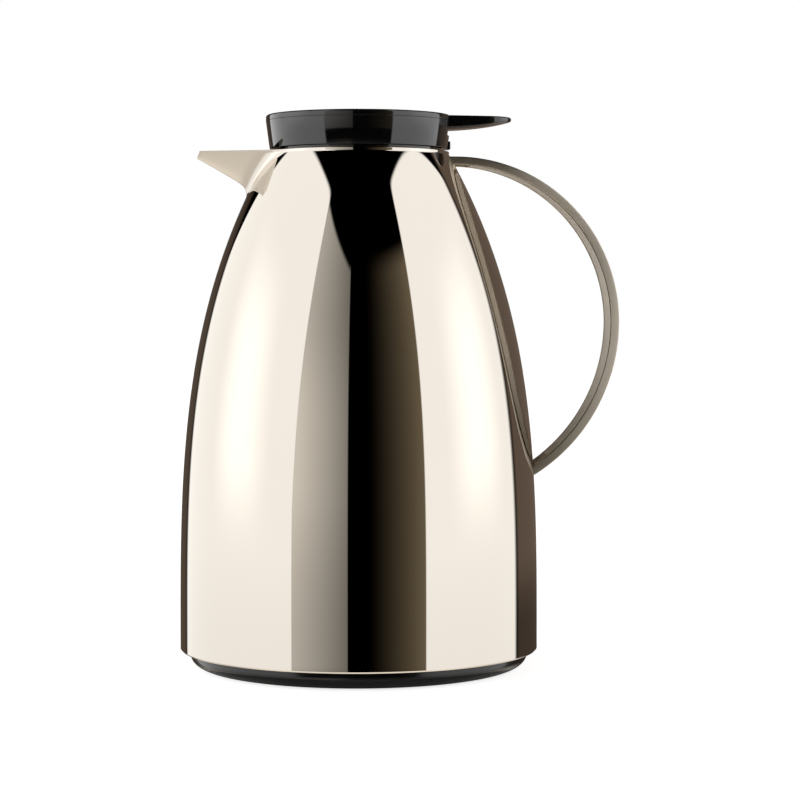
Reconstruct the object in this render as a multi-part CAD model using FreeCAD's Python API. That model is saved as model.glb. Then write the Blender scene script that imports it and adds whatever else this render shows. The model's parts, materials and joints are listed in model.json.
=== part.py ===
import FreeCAD, Part
import math
import os
from FreeCAD import Vector

# Thermal pot: mirror shell with a beak and a strap handle, glass vacuum liner,
# screw-in stopper with a pour valve and a thumb lever.
# Millimetres. The origin is the middle of the foot, +Z is up, the handle lies
# towards +X and the beak towards -X.

# Shell
shell_bottom_z = 7.5
rim_z = 210.2
belly_radius = 73.0
rim_radius = 36.2
shell_wall = 2.2
shell_edge_bevel = 0.6
taper_power_share = 3.15
outline_spans = 8
ledge_z = 24.0
ledge_thickness = 2.0
ledge_depth = 3.6

# Beak, a V-shaped channel with a rounded keel that widens evenly from tip to root
beak_length = 28.4
beak_tip_half_width = 2.6
beak_root_depth = 8.2
beak_root_half_width = 16.1
beak_depth_share = 1.515
beak_lean_share = 0.36
beak_keel_share = 0.25
beak_wall = 1.0

# Base cap
base_inset = 4.1
base_round_width = 8.9
foot_width = 8.0
base_round_height = 5.5
base_recess = 3.0
base_floor = 2.5
base_skirt_wall = 2.2
base_seat_gap = 0.1
hook_count = 3
hook_width = 8.0
hook_thickness = 1.9
hook_root_length = 8.0
hook_barb = 1.8
hook_barb_height = 1.7
hook_gap = 0.3

# Handle strap, its inner strip and the pegs that lock it
handle_standoff = 33.4
handle_drop = 2.0
handle_upper_radius = 67.2
handle_lower_radius = 73.5
handle_width = 18.5
handle_thickness = 3.2
handle_flange = 2.5
handle_groove_depth = 1.6
handle_strip_fit = 0.08
handle_strip_end = 6.0
handle_root_sink = 9.0
handle_root_fit = 0.05
tab_width = 10.0
tab_thickness = 2.2
tab_grip = 4.5
tab_margin = 1.3
tab_gap = 0.3
slot_fit = 0.12
peg_radius = 1.5
peg_fit = 0.05
peg_wall_gap = 0.15
peg_overhang = 2.0

# Neck collar inside the shell
collar_room = 4.2
collar_wall = 2.2
collar_height = 27.2
collar_fit = 0.05
collar_sill_width = 4.1
collar_sill_thickness = 2.0
collar_seat_lift = 7.0
collar_seat_thickness = 3.0
collar_flange_thickness = 1.4
chute_half_width = 10.5
chute_wall = 1.6
chute_sill = 1.0
window_half_width = 9.0

# Glass liner
liner_room = 14.8
liner_bottom_z = 16.0
liner_dome = 24.0
liner_glass = 1.6
liner_vacuum = 3.4
liner_neck_vacuum = 1.2
liner_neck_gap = 0.6
liner_neck_length = 16.0
liner_shoulder = 47.0
liner_lip = 1.6
tip_radius = 1.6
tip_root_radius = 4.0
tip_length = 6.5
spacer_count = 3
spacer_size = 8.0
spacer_fit = 0.1
spacer_z = 62.0
liner_gasket_thickness = 2.0
liner_gasket_inset = 0.8
cushion_radius = 26.0
cushion_rim_width = 4.6
cushion_fit = 0.1
cushion_hole_radius = 7.0

# Screw thread of the stopper
thread_starts = 3
thread_lead = 15.0
thread_depth = 1.6
thread_clearance = 0.4
thread_height = 2.0
thread_bevel = 0.4
thread_sink = 0.5
collar_thread_turn_share = 0.6
stopper_thread_turn_share = 0.22
thread_lift = 0.9

# Stopper
stopper_gasket_thickness = 2.0
stopper_gasket_gap = 0.3
stopper_gasket_inset = 0.6
nose_gap = 2.0
nose_length = 22.3
nose_ring_gap = 0.4
stopper_wall = 2.0
stopper_thread_band = 8.0
stopper_waist = 1.6
port_count = 6
port_width = 10.0
port_height = 8.0
port_drop = 3.4
seat_floor = 2.5
seat_hole_radius = 7.5
boss_radius = 3.0
boss_length = 9.0
boss_overlap = 0.8

# Lid drum and cap
lid_lip = 1.2
lid_height = 13.6
lid_flare = 1.5
lid_wall = 2.0
lid_floor = 2.4
lid_register_depth = 0.6
lid_register_gap = 0.5
lid_corner_width = 2.2
lid_corner_height = 1.6
lid_lug_width = 6.0
lid_lug_height = 3.3
lid_lug_depth = 1.2
cap_thickness = 2.4
cap_bevel = 0.8
cap_skirt_depth = 2.2
cap_skirt_wall = 1.5
cap_skirt_fit = 0.1
cap_notch_gap = 0.3

# Thumb lever and its pin
lever_reach = 25.0
lever_half_width = 11.0
lever_root_thickness = 5.2
lever_tip_thickness = 1.8
lever_fall = 0.4
lever_sag = 0.5
lever_flush = 0.1
lever_side_gap = 0.4
lever_swing_room = 3.0
pin_radius = 1.5
pin_inset = 7.2
pin_fit = 0.05
pin_seat_fit = 0.02
hub_radius = 3.2
hub_half_width = 8.5
hub_gap = 0.3
web_back = 2.5
ear_gap = 0.3
ear_thickness = 3.0
prong_gap = 0.5
prong_width = 3.0
prong_thickness = 1.7
prong_overhang = 2.5
crown_radius = 1.1

# Pour valve
stem_radius = 2.5
stem_guide_fit = 0.08
stem_rise = 4.9
clip_radius = 6.0
clip_thickness = 1.0
clip_fit = 0.05
clip_drop = 1.9
groove_depth = 0.7
crown_gap = 0.3
plunger_radius = 10.0
plunger_thickness = 3.0
pilot_radius = 4.0
pilot_length = 2.4
seal_thickness = 1.5
seal_overhang = 0.6
seal_fit = 0.05
seal_gap = 0.1
spring_seat_radius = 8.0
spring_seat_thickness = 2.0
spring_length = 23.5
spring_radius = 6.0
spring_wire_radius = 0.55
spring_turns = 7
spring_end_gap = 0.15
turn_steps = 4
gap_samples = 12

# Screws that hold the lid on the stopper
screw_count = 3
screw_radius = 1.4
screw_length = 8.0
screw_fit = 0.05
screw_hole_gap = 0.2
screw_head_radius = 2.7
screw_head_height = 1.6
screw_slot_width = 0.7
screw_slot_depth = 0.7

# One overrun serves every cut
overrun = 1.0
full_turn = 360

# Levels and radii that several pieces share
collar_outer = rim_radius - shell_wall - collar_room
collar_bore = collar_outer - collar_wall
collar_z = rim_z - collar_height
sill_top_z = collar_z + collar_sill_thickness
seat_z = collar_z + collar_seat_lift
seat_top_z = seat_z + collar_seat_thickness
floor_z = rim_z - lid_register_depth
floor_top_z = floor_z + lid_floor
flange_top_z = floor_z - tab_gap
flange_z = flange_top_z - collar_flange_thickness
lid_z = rim_z + lid_lip
lid_top_z = lid_z + lid_height
cap_z = lid_top_z - cap_thickness
lid_top_radius = rim_radius + lid_flare
mouth_z = collar_z - liner_gasket_thickness
liner_neck_radius = collar_bore - liner_neck_gap
liner_bore = liner_neck_radius - 2 * liner_glass - liner_neck_vacuum
liner_radius = belly_radius - shell_wall - liner_room
neck_z = mouth_z - liner_neck_length
shoulder_z = neck_z - liner_shoulder
gasket_z = sill_top_z + stopper_gasket_gap
stopper_z = gasket_z + stopper_gasket_thickness
stopper_radius = collar_bore - thread_depth - thread_clearance
nose_radius = liner_bore - nose_gap
nose_z = stopper_z - nose_length
waist_radius = stopper_radius - stopper_waist
waist_bore = waist_radius - stopper_wall
thread_pitch = thread_lead / thread_starts
stopper_thread_z = stopper_z + thread_lift
collar_thread_z = stopper_thread_z - thread_pitch / 2
boss_circle = waist_bore - boss_radius + boss_overlap
pin_x = rim_radius - lid_wall - pin_inset
pin_z = floor_top_z + hub_gap + hub_radius
prong_z = floor_top_z + hub_gap
seal_z = nose_z + seat_floor + seal_gap
plunger_z = seal_z + seal_thickness
spring_top_z = floor_z
spring_seat_z = spring_top_z - spring_length
stem_top_z = floor_top_z + stem_rise
clip_z = stem_top_z - clip_drop
handle_top_z = rim_z - handle_drop
handle_reach = belly_radius + handle_standoff
handle_middle_z = handle_top_z - handle_upper_radius
handle_upper_x = handle_reach - handle_upper_radius
handle_lower_x = handle_reach - handle_lower_radius
base_radius = belly_radius - base_inset
foot_outer = base_radius - base_round_width
foot_inner = foot_outer - foot_width
base_floor_z = base_recess + base_floor


def body_radius(z):
    """Outer radius of the shell at a height: straight at the foot, drawn in to the rim."""
    share = max(0, (z - shell_bottom_z) / (rim_z - shell_bottom_z))
    return belly_radius - (belly_radius - rim_radius) * share ** taper_power_share


def at(x, z):
    """Point in the plane of the handle."""
    return Vector(x, 0, z)


def revolve(edges):
    """Solid of revolution about the axis from a closed outline."""
    face = Part.Face(Part.Wire(Part.__sortEdges__(edges)))
    return face.revolve(Vector(0, 0, 0), Vector(0, 0, 1), full_turn)


def outline(points):
    """Closed outline of straight edges."""
    return Part.makePolygon(points + points[:1]).Edges


def cylinder(radius, low, high):
    """Upright cylinder on the axis between two levels."""
    return Part.makeCylinder(radius, high - low, Vector(0, 0, low))


def ring(inner, outer, low, high):
    """Plain ring about the axis between two levels."""
    return cylinder(outer, low, high).cut(cylinder(inner, low - overrun, high + overrun))


def block(x, y, z):
    """Box between pairs of limits."""
    corner = Vector(x[0], y[0], z[0])
    return Part.makeBox(x[1] - x[0], y[1] - y[0], z[1] - z[0], corner)


def cross_bar(radius, half_length, x, z):
    """Bar across the pot, along Y."""
    return Part.makeCylinder(radius, 2 * half_length, Vector(x, -half_length, z), Vector(0, 1, 0))


def post(radius, x, low, high):
    """Upright bar that stands off the axis."""
    return Part.makeCylinder(radius, high - low, Vector(x, 0, low))


def round_copies(shape, count):
    """Copies of a shape spaced evenly round the axis, the first turned half a step."""
    copies = []
    for index in range(count):
        copy = shape.copy()
        copy.rotate(Vector(0, 0, 0), Vector(0, 0, 1), full_turn * (index + 1 / 2) / count)
        copies.append(copy)
    return copies


def body_form(inset, low, high, bevel=0):
    """Filled body that follows the shell's outline, moved in by a wall."""
    foot = low + bevel
    levels = [foot + (high - foot) * step / outline_spans for step in range(outline_spans + 1)]
    points = [at(body_radius(z) - inset, z) for z in levels]
    curve = Part.BSplineCurve()
    curve.interpolate(points)
    corners = [points[-1], at(0, high), at(0, low)]
    if bevel:
        corners.append(at(points[0].x - bevel, low))
    corners.append(points[0])
    return revolve([curve.toShape()] + line_through(corners))


def beak_section(share, inset, rise):
    """V outline of the beak with a rounded keel, at a share of its length from the root."""
    width = beak_root_half_width + (beak_tip_half_width - beak_root_half_width) * share
    front = rim_radius - beak_root_depth + (beak_root_depth + beak_length) * share
    slant = math.hypot(1, beak_depth_share)
    width = width - inset * slant / beak_depth_share
    drop = width * beak_depth_share
    knee = beak_keel_share * width
    knee_drop = drop * (1 - beak_keel_share)
    keel_drop = knee_drop + knee * (slant - 1) / beak_depth_share
    brim = width + rise / beak_depth_share

    def point(y, fall):
        return Vector(-front - beak_lean_share * fall, y, rim_z - fall)

    edges = [
        Part.makeLine(point(brim, -rise), point(knee, knee_drop)),
        Part.Arc(point(knee, knee_drop), point(0, keel_drop), point(-knee, knee_drop)).toShape(),
        Part.makeLine(point(-knee, knee_drop), point(-brim, -rise)),
        Part.makeLine(point(-brim, -rise), point(brim, -rise)),
    ]
    return Part.Wire(edges)


def beak_form(inset=0, rise=0, reach_share=1):
    """Filled beak, or its channel where it is inset and raised."""
    sections = [beak_section(0, inset, rise), beak_section(reach_share, inset, rise)]
    return Part.makeLoft(sections, True, True)


def upper_tab_levels():
    """Lower and upper level of the handle's upper tab."""
    top = flange_z - tab_gap
    return top - tab_thickness, top


def lower_tab_levels():
    """Lower and upper level of the handle's lower tab, where the strap meets the shell."""
    radius = handle_lower_radius - handle_thickness / 2
    level = handle_middle_z - radius / 2
    for _ in range(outline_spans * outline_spans):
        run = body_radius(level) - handle_lower_x
        level = handle_middle_z - math.sqrt(max(0, radius ** 2 - run ** 2))
    return level - tab_thickness / 2, level + tab_thickness / 2


def tab_end(levels):
    """Inner end of a tab, past its peg."""
    return peg_place(levels) - peg_radius - tab_margin


def peg_place(levels):
    """Distance of a peg from the axis, just inside the shell's wall."""
    return body_radius(levels[1]) - shell_wall - peg_wall_gap - peg_radius


def tab_block(levels, grow=0):
    """Tab that runs from the strap's root through the shell's wall."""
    x = (tab_end(levels) - grow, body_radius(levels[0]) + tab_grip)
    y = (-tab_width / 2 - grow, tab_width / 2 + grow)
    return block(x, y, (levels[0] - grow, levels[1] + grow))


def handle_line(inset, backwards):
    """Line of the handle in its plane: level at the top, then two tangent arcs."""
    upper = handle_upper_radius - inset
    lower = handle_lower_radius - inset
    run = belly_radius - handle_root_sink - handle_lower_x
    end = math.acos(run / handle_lower_radius)

    def turn(centre_x, radius, angle):
        return at(centre_x + radius * math.cos(angle), handle_middle_z + radius * math.sin(angle))

    quarter = math.pi / 2
    start = at(0, handle_middle_z + upper)
    top = turn(handle_upper_x, upper, quarter)
    side = turn(handle_upper_x, upper, 0)
    foot = turn(handle_lower_x, lower, -end)
    edges = [
        Part.makeLine(start, top),
        Part.Arc(top, turn(handle_upper_x, upper, quarter / 2), side).toShape(),
        Part.Arc(side, turn(handle_lower_x, lower, -end / 2), foot).toShape(),
    ]
    return (edges[::-1] if backwards else edges), start, foot


def handle_band(near, far, half_width, stand_off):
    """Band of the strap between two depths under its outer face, clear of the shell."""
    outer, outer_start, outer_foot = handle_line(near, False)
    inner, inner_start, inner_foot = handle_line(far, True)
    closing = [Part.makeLine(outer_foot, inner_foot), Part.makeLine(inner_start, outer_start)]
    wire = Part.Wire(Part.__sortEdges__(outer + inner + closing))
    band = Part.Face(wire).extrude(Vector(0, 2 * half_width, 0))
    band.translate(Vector(0, -half_width, 0))
    return band.cut(body_form(-stand_off, shell_bottom_z, rim_z + overrun))


def quarter_ellipse(centre, start, end):
    """Quarter of an ellipse between the ends of its two half axes."""
    longer, shorter = (start, end)
    if centre.distanceToPoint(end) > centre.distanceToPoint(start):
        longer, shorter = (end, start)
    ellipse = Part.Ellipse(longer, shorter, centre)
    return Part.Arc(ellipse, 0, math.pi / 2).toShape()


def dome_level(x, radius, low):
    """Height of a round bottom at a distance from the axis."""
    sphere = (radius ** 2 + liner_dome ** 2) / (2 * liner_dome)
    return low + sphere - math.sqrt(sphere ** 2 - x ** 2)


def dome_arc(radius, low, start, end):
    """Arc of a round bottom between two distances from the axis."""
    points = [at(x, dome_level(x, radius, low)) for x in (start, (start + end) / 2, end)]
    return Part.Arc(*points).toShape()


def bottle_sizes(inset, wall):
    """Radius, neck radius, bottom and neck level of a bottle's surface inside the liner's outside."""
    neck_inset = inset - liner_vacuum + liner_neck_vacuum if inset else 0
    depth = inset + wall
    return liner_radius - depth, liner_neck_radius - neck_inset - wall, liner_bottom_z + depth, neck_z - depth


def bottle_line(sizes, start, top):
    """Edges of a bottle's surface from its bottom to its top: dome, wall, shoulder and neck."""
    radius, neck_radius, low, neck = sizes
    corners = [at(radius, low + liner_dome), at(radius, shoulder_z), at(neck_radius, neck), at(neck_radius, top)]
    return [
        dome_arc(radius, low, start, radius),
        Part.makeLine(corners[0], corners[1]),
        quarter_ellipse(at(neck_radius, shoulder_z), corners[1], corners[2]),
        Part.makeLine(corners[2], corners[3]),
    ]


def line_through(points):
    """Open run of straight edges."""
    return [Part.makeLine(a, b) for a, b in zip(points, points[1:])]


def thread_ribs(root_radius, tip_radius, low, turn_share):
    """Helical ribs, one for each start, that stand between two radii."""
    ribs = []
    bevel = thread_bevel
    for start in range(thread_starts):
        helix = Part.makeHelix(thread_lead, thread_lead * turn_share, root_radius)
        section = Part.Wire(outline([
            at(root_radius, 0),
            at(tip_radius, bevel),
            at(tip_radius, thread_height - bevel),
            at(root_radius, thread_height),
        ]))
        rib = Part.Wire(helix.Edges).makePipeShell([section], True, True)
        rib.translate(Vector(0, 0, low))
        rib.rotate(Vector(0, 0, 0), Vector(0, 0, 1), full_turn * start / thread_starts)
        ribs.append(rib)
    return ribs


def outer_shell():
    """Body shell with its beak, the ledge for the base and the slots for the handle's tabs."""
    solid = body_form(0, shell_bottom_z, rim_z, shell_edge_bevel)
    solid = solid.fuse(beak_form()).removeSplitter()
    solid = solid.cut(body_form(shell_wall, shell_bottom_z - overrun, rim_z + overrun))
    past_tip_share = 1 + overrun / (beak_root_depth + beak_length)
    solid = solid.cut(beak_form(beak_wall, overrun, past_tip_share))
    inner = belly_radius - shell_wall
    ledge = ring(inner - ledge_depth, belly_radius, ledge_z, ledge_z + ledge_thickness)
    ledge = ledge.common(body_form(shell_wall / 2, shell_bottom_z, rim_z))
    solid = solid.fuse(ledge)
    for levels in (upper_tab_levels(), lower_tab_levels()):
        solid = solid.cut(tab_block(levels, slot_fit))
    return solid


def base_cap():
    """Black base with a foot ring, a round side and snap hooks that reach over the ledge."""
    skirt_top = ledge_z - base_seat_gap
    skirt_inner = base_radius - base_skirt_wall
    corners = [
        at(base_radius, base_round_height),
        at(base_radius, skirt_top),
        at(skirt_inner, skirt_top),
        at(skirt_inner, base_floor_z),
        at(0, base_floor_z),
        at(0, base_recess),
        at(foot_inner, base_recess),
        at(foot_inner, 0),
        at(foot_outer, 0),
    ]
    edges = [quarter_ellipse(at(foot_outer, base_round_height), corners[-1], corners[0])]
    edges += line_through(corners)
    solid = revolve(edges)
    ledge_inner = belly_radius - shell_wall - ledge_depth
    hook_outer = ledge_inner - 2 * hook_gap
    hook_inner = hook_outer - hook_thickness
    barb_z = ledge_z + ledge_thickness + hook_gap
    y = (-hook_width / 2, hook_width / 2)
    hook = block((hook_inner, hook_outer), y, (skirt_top - hook_root_length, barb_z + hook_barb_height))
    hook = hook.fuse(block((hook_inner, hook_outer + hook_barb), y, (barb_z, barb_z + hook_barb_height)))
    root = block((hook_inner, base_radius - base_skirt_wall / 2), y, (skirt_top - hook_root_length, skirt_top))
    for copy in round_copies(hook.fuse(root), hook_count):
        solid = solid.fuse(copy)
    return solid.removeSplitter()


def handle_frame():
    """Strap with a groove along its inner face and a tab at each root."""
    solid = handle_band(0, handle_thickness, handle_width / 2, handle_root_fit)
    groove_half = handle_width / 2 - handle_flange
    groove_floor = handle_thickness - handle_groove_depth
    groove_end = handle_strip_end - handle_strip_fit
    solid = solid.cut(handle_band(groove_floor, handle_thickness + overrun, groove_half, groove_end))
    for levels in (upper_tab_levels(), lower_tab_levels()):
        solid = solid.fuse(tab_block(levels))
        x = peg_place(levels)
        solid = solid.cut(post(peg_radius + peg_fit, x, levels[0] - overrun, levels[1] + overrun))
    return solid.removeSplitter()


def handle_inlay():
    """Strip that fills the strap's groove."""
    near = handle_thickness - handle_groove_depth + handle_strip_fit
    half_width = handle_width / 2 - handle_flange - handle_strip_fit
    return handle_band(near, handle_thickness, half_width, handle_strip_end)


def handle_lock_pegs():
    """Pegs that hold the tabs behind the shell's wall."""
    pegs = []
    for levels in (upper_tab_levels(), lower_tab_levels()):
        pegs.append(post(peg_radius, peg_place(levels), levels[0] - peg_overhang, levels[1]))
    return Part.makeCompound(pegs)


def neck_collar():
    """Threaded neck with a seat under the shell's cone and a chute to the beak."""
    solid = ring(collar_bore, collar_outer, collar_z, flange_top_z)
    solid = solid.fuse(ring(collar_bore - collar_sill_width, collar_outer, collar_z, sill_top_z))
    solid = solid.fuse(ring(collar_bore, belly_radius, seat_z, seat_top_z))
    solid = solid.fuse(ring(collar_bore, belly_radius, flange_z, flange_top_z))
    outer_half = chute_half_width + chute_wall
    for y in ((-outer_half, -chute_half_width), (chute_half_width, outer_half)):
        wall = block((-belly_radius, 0), y, (seat_top_z - chute_sill, flange_top_z))
        solid = solid.fuse(wall.cut(cylinder(collar_bore, collar_z, rim_z)))
    solid = solid.common(body_form(shell_wall + collar_fit, shell_bottom_z, rim_z))
    y = (-window_half_width, window_half_width)
    solid = solid.cut(block((-belly_radius, 0), y, (seat_top_z + chute_sill, rim_z)))
    tip = collar_bore - thread_depth
    for rib in thread_ribs(collar_bore + thread_sink, tip, collar_thread_z, collar_thread_turn_share):
        solid = solid.fuse(rib)
    return solid


def liner_outer_flask():
    """Outer glass bottle with its sealed tip."""
    outside = bottle_sizes(0, 0)
    inside = bottle_sizes(0, liner_glass)
    top = mouth_z - liner_lip
    tip_z = liner_bottom_z - tip_length
    root = at(tip_root_radius, dome_level(tip_root_radius, outside[0], outside[2]))
    edges = bottle_line(outside, tip_root_radius, top) + bottle_line(inside, 0, top)
    edges += line_through([at(outside[1], top), at(inside[1], top)])
    edges += line_through([at(0, inside[2]), at(0, tip_z), at(tip_radius, tip_z), root])
    return revolve(edges)


def liner_inner_flask():
    """Inner glass bottle whose lip closes the vacuum space at the mouth."""
    gap = liner_glass + liner_vacuum
    outside = bottle_sizes(gap, 0)
    inside = bottle_sizes(gap, liner_glass)
    lip_z = mouth_z - liner_lip
    edges = bottle_line(outside, 0, lip_z) + bottle_line(inside, 0, mouth_z)
    edges += line_through([at(outside[1], lip_z), at(liner_neck_radius, lip_z), at(liner_neck_radius, mouth_z),
                           at(inside[1], mouth_z)])
    edges += line_through([at(0, inside[2]), at(0, outside[2])])
    return revolve(edges)


def liner_spacers():
    """Pads that keep the two bottles apart."""
    inner = liner_radius - liner_glass - liner_vacuum + spacer_fit
    outer = liner_radius - liner_glass - spacer_fit
    half = spacer_size / 2
    pad = ring(inner, outer, spacer_z - half, spacer_z + half)
    pad = pad.common(block((0, belly_radius), (-half, half), (0, rim_z)))
    return Part.makeCompound(round_copies(pad, spacer_count))


def liner_gasket():
    """Seal between the liner's mouth and the collar."""
    inner = liner_bore + stopper_gasket_gap
    return ring(inner, collar_outer - liner_gasket_inset, mouth_z, collar_z)


def liner_cushion():
    """Rubber cup on the base that carries the liner."""
    bowl = cushion_radius - cushion_rim_width
    low = liner_bottom_z - cushion_fit
    rim = dome_level(bowl, liner_radius, low)
    edges = line_through([
        at(bowl, rim),
        at(cushion_radius, rim),
        at(cushion_radius, base_floor_z),
        at(cushion_hole_radius, base_floor_z),
        at(cushion_hole_radius, dome_level(cushion_hole_radius, liner_radius, low)),
    ])
    edges.append(dome_arc(liner_radius, low, cushion_hole_radius, bowl))
    return revolve(edges)


def stopper_gasket():
    """Seal ring under the stopper's shoulder."""
    outer = stopper_radius - stopper_gasket_inset
    return ring(nose_radius + nose_ring_gap, outer, gasket_z, stopper_z)


def stopper_body():
    """Threaded cup with a plug nose, the valve's seat and the pour ports."""
    band_top = stopper_z + stopper_thread_band
    seat_top = nose_z + seat_floor
    solid = cylinder(nose_radius, nose_z, stopper_z)
    solid = solid.fuse(cylinder(stopper_radius, stopper_z, band_top))
    solid = solid.fuse(cylinder(waist_radius, band_top, floor_z))
    solid = solid.cut(cylinder(nose_radius - stopper_wall, seat_top, stopper_z + stopper_wall))
    solid = solid.cut(cylinder(waist_bore, stopper_z + stopper_wall, floor_z + overrun))
    solid = solid.cut(cylinder(seat_hole_radius, nose_z - overrun, seat_top + overrun))
    boss = post(boss_radius, boss_circle, floor_z - boss_length, floor_z)
    for copy in round_copies(boss, screw_count):
        solid = solid.fuse(copy)
    port_top = floor_z - port_drop
    port = block((0, stopper_radius), (-port_width / 2, port_width / 2), (port_top - port_height, port_top))
    port = port.cut(cylinder(boss_circle, floor_z - boss_length - overrun, floor_z))
    for copy in round_copies(port, port_count):
        solid = solid.cut(copy)
    pilot = post(screw_radius + screw_fit, boss_circle, floor_z - screw_length, floor_z + overrun)
    for copy in round_copies(pilot, screw_count):
        solid = solid.cut(copy)
    tip = collar_bore - thread_clearance
    for rib in thread_ribs(stopper_radius - thread_sink, tip, stopper_thread_z, stopper_thread_turn_share):
        solid = solid.fuse(rib)
    return solid


def drum_radius(z):
    """Outer radius of the lid's drum at a height."""
    return rim_radius + lid_flare * (z - lid_z) / (cap_z - lid_z)


def lever_slot(low, back):
    """Space for the lever's tongue through the drum's side and the cap."""
    half = lever_half_width + lever_side_gap
    return block((back, lid_top_radius + overrun), (-half, half), (low, lid_top_z + overrun))


def lid_drum():
    """Drum of the lid with its floor, the ears of the lever's pin and a small lug."""
    height = cap_z - lid_z
    solid = Part.makeCone(rim_radius, lid_top_radius, height, at(0, lid_z))
    inside = Part.makeCone(rim_radius - lid_wall, lid_top_radius - lid_wall, height, at(0, lid_z))
    solid = solid.cut(inside)
    register = rim_radius - shell_wall - lid_register_gap
    solid = solid.fuse(cylinder(register, floor_z, floor_top_z))
    solid = solid.fuse(ring(register - lid_corner_width, rim_radius, lid_z, lid_z + lid_corner_height))
    lug_x = (rim_radius - lid_wall / 2, rim_radius + lid_lug_depth)
    lug = block(lug_x, (-lid_lug_width / 2, lid_lug_width / 2), (lid_z, lid_z + lid_lug_height))
    solid = solid.fuse(lug)
    solid = solid.cut(lever_slot(lid_top_z - lever_root_thickness - lever_swing_room, pin_x))
    ear_low = hub_half_width + ear_gap
    for y in ((-ear_low - ear_thickness, -ear_low), (ear_low, ear_low + ear_thickness)):
        solid = solid.fuse(block((pin_x - hub_radius, pin_x + hub_radius), y, (floor_z, pin_z)))
    solid = solid.fuse(cross_bar(hub_radius, ear_low + ear_thickness, pin_x, pin_z))
    between = block((pin_x - pin_inset, pin_x + hub_radius + overrun), (-ear_low, ear_low),
                    (floor_top_z, cap_z))
    solid = solid.cut(between)
    solid = solid.cut(cross_bar(pin_radius + pin_seat_fit, ear_low + ear_thickness + overrun, pin_x, pin_z))
    solid = solid.cut(cylinder(stem_radius + stem_guide_fit, floor_z - overrun, floor_top_z + overrun))
    hole = post(screw_radius + screw_hole_gap, boss_circle, floor_z - overrun, floor_top_z + overrun)
    for copy in round_copies(hole, screw_count):
        solid = solid.cut(copy)
    return solid.removeSplitter()


def lid_cap():
    """Top disc of the lid, notched for the lever's tongue, with a skirt inside the drum."""
    side = cylinder(lid_top_radius, cap_z, lid_top_z - cap_bevel)
    top = Part.makeCone(lid_top_radius, lid_top_radius - cap_bevel, cap_bevel, at(0, lid_top_z - cap_bevel))
    skirt_outer = drum_radius(cap_z - cap_skirt_depth) - lid_wall - cap_skirt_fit
    skirt = ring(skirt_outer - cap_skirt_wall, skirt_outer, cap_z - cap_skirt_depth, cap_z + overrun)
    solid = side.fuse(top).fuse(skirt).removeSplitter()
    return solid.cut(lever_slot(cap_z - cap_skirt_depth - overrun, pin_x - cap_notch_gap))


def lever_tongue():
    """Tongue of the lever: level on top, its underside bowed up to a rounded tip."""
    top = lid_top_z - lever_flush
    tip_x = lid_top_radius + lever_reach
    tip_top = top - lever_fall
    tip_low = tip_top - lever_tip_thickness
    nose = lever_tip_thickness / 2
    under = top - lever_root_thickness
    heel = at(lid_top_radius, under)
    tip_start = at(tip_x - nose, tip_top)
    tip_end = at(tip_x - nose, tip_low)
    belly = at((heel.x + tip_end.x) / 2, (heel.z + tip_end.z) / 2 - lever_sag)
    edges = [
        Part.makeLine(at(pin_x, top), tip_start),
        Part.Arc(tip_start, at(tip_x, tip_top - nose), tip_end).toShape(),
        Part.Arc(tip_end, belly, heel).toShape(),
        Part.makeLine(heel, at(pin_x, under)),
        Part.makeLine(at(pin_x, under), at(pin_x, top)),
    ]
    tongue = Part.Face(Part.Wire(edges)).extrude(Vector(0, 2 * lever_half_width, 0))
    tongue.translate(Vector(0, -lever_half_width, 0))
    low = under - overrun
    plan = block((pin_x, tip_x - lever_half_width), (-lever_half_width, lever_half_width), (low, lid_top_z))
    plan = plan.fuse(post(lever_half_width, tip_x - lever_half_width, low, lid_top_z))
    return tongue.common(plan)


def thumb_lever():
    """Thumb lever: tongue, hub round the pin and a fork under the valve's clip."""
    solid = lever_tongue()
    under = lid_top_z - lever_flush - lever_root_thickness
    web_top = under + lever_root_thickness / 2
    y = (-hub_half_width, hub_half_width)
    solid = solid.fuse(block((pin_x, pin_x + hub_radius), y, (pin_z, web_top)))
    solid = solid.fuse(block((pin_x - web_back, pin_x), y, (pin_z, under - crown_gap)))
    solid = solid.fuse(cross_bar(hub_radius, hub_half_width, pin_x, pin_z))
    near = stem_radius + prong_gap
    crown_z = clip_z - crown_gap - crown_radius
    for y in ((-near - prong_width, -near), (near, near + prong_width)):
        solid = solid.fuse(block((-prong_overhang, pin_x), y, (prong_z, prong_z + prong_thickness)))
        crown = cross_bar(crown_radius, prong_width / 2, 0, crown_z)
        crown.translate(Vector(0, (y[0] + y[1]) / 2, 0))
        solid = solid.fuse(crown)
    solid = solid.cut(cross_bar(pin_radius + pin_fit, hub_half_width + overrun, pin_x, pin_z))
    return solid.removeSplitter()


def lever_pin():
    """Pin of the lever, seated in the ears."""
    return cross_bar(pin_radius, hub_half_width + ear_gap + ear_thickness, pin_x, pin_z)


def valve_stem():
    """Stem with its plunger, the pilot of the seal, the spring's seat and the clip's groove."""
    solid = cylinder(stem_radius, plunger_z, stem_top_z)
    solid = solid.fuse(cylinder(plunger_radius, plunger_z, plunger_z + plunger_thickness))
    solid = solid.fuse(cylinder(pilot_radius, plunger_z - pilot_length, plunger_z))
    seat_low = spring_seat_z - spring_seat_thickness
    solid = solid.fuse(cylinder(spring_seat_radius, seat_low, spring_seat_z))
    groove = ring(stem_radius - groove_depth, stem_radius + overrun, clip_z - clip_fit,
                  clip_z + clip_thickness + clip_fit)
    return solid.cut(groove).removeSplitter()


def valve_seal():
    """Rubber washer between the plunger and its seat."""
    return ring(pilot_radius + seal_fit, plunger_radius + seal_overhang, seal_z, plunger_z)


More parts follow.
